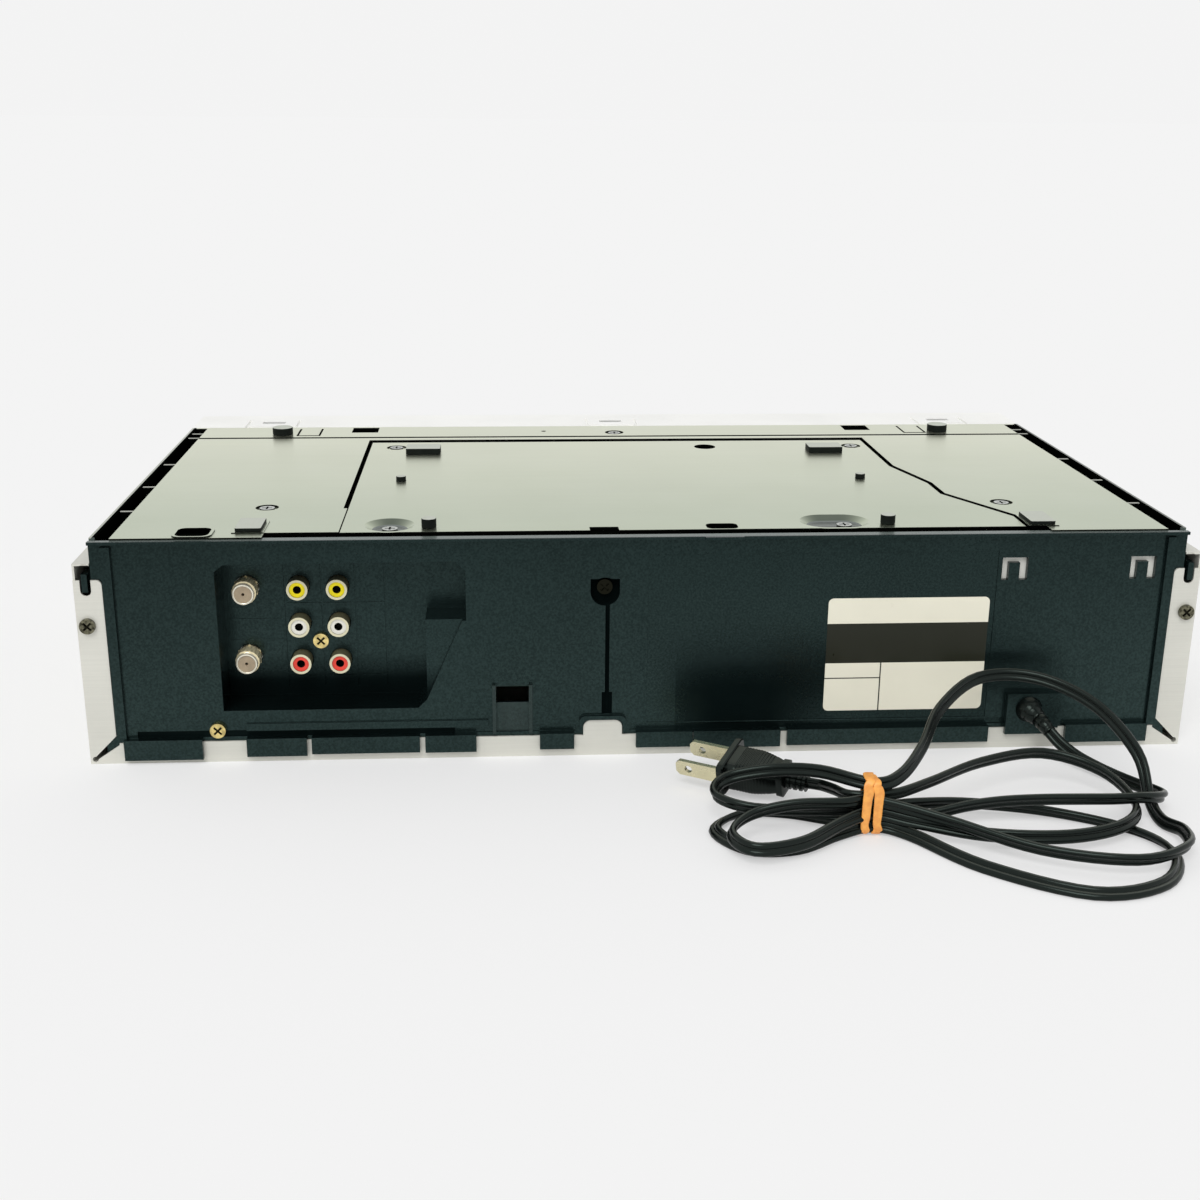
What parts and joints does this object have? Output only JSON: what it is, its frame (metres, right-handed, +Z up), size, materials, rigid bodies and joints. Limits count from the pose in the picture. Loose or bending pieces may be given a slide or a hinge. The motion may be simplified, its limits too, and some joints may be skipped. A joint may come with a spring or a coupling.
{
  "type": "video cassette recorder",
  "caption": "Video cassette recorder lying on its lid, with rear sockets, a tape deck inside, a cassette flap and front keys, and a mains cord folded into a banded hank.",
  "frame": {"origin": "centre of the bounding box's bottom, on the surface that the recorder lies on; the lid is down and the feet point up, as pictured, and the cord isn't counted", "axes": "+X to the right as the rear panel is seen from behind in this pose, +Y from the rear panel to the front panel, +Z up, from the lid to the feet"},
  "size_m": [0.43, 0.3608, 0.093],
  "materials": {
    "cover_silver": "satin",
    "frame_black": "satin",
    "plate_zinc": "satin",
    "bright_steel": "satin",
    "dark_screw": "satin",
    "foot_rubber": "matte",
    "label_cream": "semi-gloss",
    "socket_nickel": "polished",
    "insulator_tan": "satin",
    "jack_yellow": "gloss",
    "jack_white": "gloss",
    "jack_red": "gloss",
    "screw_gold": "polished",
    "board_green": "satin",
    "board_brown": "satin",
    "winding_copper": "satin",
    "sleeve_blue": "gloss",
    "bare_aluminium": "satin",
    "reel_grey": "satin",
    "belt_rubber": "matte",
    "gear_ivory": "satin",
    "front_pale": "satin",
    "front_silver": "satin",
    "window_dark": "gloss",
    "cord_black": "satin",
    "blade_nickel": "satin",
    "band_orange": "matte",
    "shell_cream": "satin",
    "shield_bright": "satin"
  },
  "bodies": {
    "chassis": {"top_cover": "cover_silver", "cover_screws": "dark_screw", "main_frame": "frame_black", "rear_panel": "frame_black", "base_plate": "plate_zinc", "service_plate": "plate_zinc", "plate_screws": "bright_steel", "foot_pads": "foot_rubber", "round_feet": "foot_rubber", "rating_label": "label_cream", "inner_shield": "shield_bright", "aerial_sockets": "socket_nickel", "aerial_insulators": "insulator_tan", "pin_shells": "shell_cream", "pin_yellow": "jack_yellow", "pin_white": "jack_white", "pin_red": "jack_red", "socket_screws": "screw_gold", "tuner_box": "bright_steel", "socket_block": "frame_black", "main_board": "board_green", "power_board": "board_brown", "transformer": "winding_copper", "capacitors": "sleeve_blue", "heat_sink": "bare_aluminium", "deck_plate": "bright_steel", "drum_lower": "bare_aluminium", "capstan_motor": "bright_steel", "drive_belt": "belt_rubber", "loading_motor": "bright_steel", "tape_heads": "bright_steel", "front_panel": "front_pale", "display_window": "window_dark", "front_board": "board_green", "front_sockets": "screw_gold", "cord_bushing": "cord_black", "cord_lead": "cord_black", "cord_hank": "cord_black", "plug_body": "cord_black", "plug_blades": "blade_nickel", "rubber_band": "band_orange"},
    "flap": {"cassette_flap": "front_silver"},
    "power_key": {"power_button": "front_silver"},
    "eject_key": {"eject_button": "front_silver"},
    "play_key": {"play_button": "front_silver"},
    "stop_key": {"stop_button": "front_silver"},
    "rewind_key": {"rewind_button": "front_silver"},
    "forward_key": {"forward_button": "front_silver"},
    "drum": {"drum_upper": "bare_aluminium"},
    "supply_spool": {"supply_reel": "reel_grey"},
    "take_up_spool": {"take_up_reel": "reel_grey"},
    "capstan_shaft": {"capstan": "bright_steel"},
    "belt_pulley": {"reel_pulley": "gear_ivory"},
    "arm": {"pinch_arm": "bright_steel"},
    "roller": {"pinch_roller": "belt_rubber"},
    "left_guide": {"supply_guide": "bright_steel"},
    "right_guide": {"take_up_guide": "bright_steel"},
    "gear": {"loading_gear": "gear_ivory"},
    "carriage": {"tape_carriage": "plate_zinc"},
    "holder": {"tape_holder": "plate_zinc"}
  },
  "joints": [
    {"name": "flap_swing", "type": "hinge", "parent": "chassis", "child": "flap", "pos_m": [0, 0.1145, 0.0105], "axis": [1, 0, 0], "range_deg": [0, 80], "stiffness_Nm_per_rad": 0.01, "springref_deg": -28.65},
    {"name": "power_press", "type": "slide", "parent": "chassis", "child": "power_key", "axis": [0, -1, 0], "range_m": [0, 0.0015], "stiffness_N_per_m": 300},
    {"name": "eject_press", "type": "slide", "parent": "chassis", "child": "eject_key", "axis": [0, -1, 0], "range_m": [0, 0.0015], "stiffness_N_per_m": 300},
    {"name": "play_press", "type": "slide", "parent": "chassis", "child": "play_key", "axis": [0, -1, 0], "range_m": [0, 0.0015], "stiffness_N_per_m": 300},
    {"name": "stop_press", "type": "slide", "parent": "chassis", "child": "stop_key", "axis": [0, -1, 0], "range_m": [0, 0.0015], "stiffness_N_per_m": 300},
    {"name": "rewind_press", "type": "slide", "parent": "chassis", "child": "rewind_key", "axis": [0, -1, 0], "range_m": [0, 0.0015], "stiffness_N_per_m": 300},
    {"name": "forward_press", "type": "slide", "parent": "chassis", "child": "forward_key", "axis": [0, -1, 0], "range_m": [0, 0.0015], "stiffness_N_per_m": 300},
    {"name": "drum_spin", "type": "hinge", "parent": "chassis", "child": "drum", "pos_m": [0, -0.0695, 0.066], "axis": [0, -0.1028, 0.9947], "continuous": true},
    {"name": "supply_spin", "type": "hinge", "parent": "chassis", "child": "supply_spool", "pos_m": [-0.046, 0.0245, 0.066], "axis": [0, 0, 1], "continuous": true},
    {"name": "take_up_spin", "type": "hinge", "parent": "chassis", "child": "take_up_spool", "pos_m": [0.046, 0.0245, 0.066], "axis": [0, 0, 1], "continuous": true},
    {"name": "capstan_spin", "type": "hinge", "parent": "chassis", "child": "capstan_shaft", "pos_m": [0.06, -0.0295, 0.066], "axis": [0, 0, 1], "continuous": true},
    {"name": "belt_pulley_spin", "type": "hinge", "parent": "chassis", "child": "belt_pulley", "pos_m": [0.02, 0.0005, 0.066], "axis": [0, 0, 1], "continuous": true},
    {"name": "pinch_swing", "type": "hinge", "parent": "chassis", "child": "arm", "pos_m": [0.082, -0.0255, 0.066], "axis": [0, 0, 1], "range_deg": [0, 28]},
    {"name": "roller_spin", "type": "hinge", "parent": "arm", "child": "roller", "pos_m": [0.06689, -0.01317, 0.06], "axis": [0, 0, 1], "continuous": true},
    {"name": "loading_turn", "type": "hinge", "parent": "chassis", "child": "gear", "pos_m": [-0.072, -0.0335, 0.066], "axis": [0, 0, 1], "range_deg": [0, 150]},
    {"name": "supply_guide_slide", "type": "slide", "parent": "chassis", "child": "left_guide", "axis": [-0.2621, -0.965, 0], "range_m": [0, 0.042]},
    {"name": "take_up_guide_slide", "type": "slide", "parent": "chassis", "child": "right_guide", "axis": [0.2621, -0.965, 0], "range_m": [0, 0.042]},
    {"name": "carriage_slide", "type": "slide", "parent": "chassis", "child": "carriage", "axis": [0, -1, 0], "range_m": [0, 0.015]},
    {"name": "holder_lift", "type": "slide", "parent": "carriage", "child": "holder", "axis": [0, 0, 1], "range_m": [0, 0.02]}
  ],
  "couplings": [
    {"joint": "belt_pulley_spin", "follows": "capstan_spin", "ratio": 0.66667},
    {"joint": "supply_guide_slide", "follows": "loading_turn", "m_per_rad": 0.01604},
    {"joint": "take_up_guide_slide", "follows": "loading_turn", "m_per_rad": 0.01604}
  ]
}
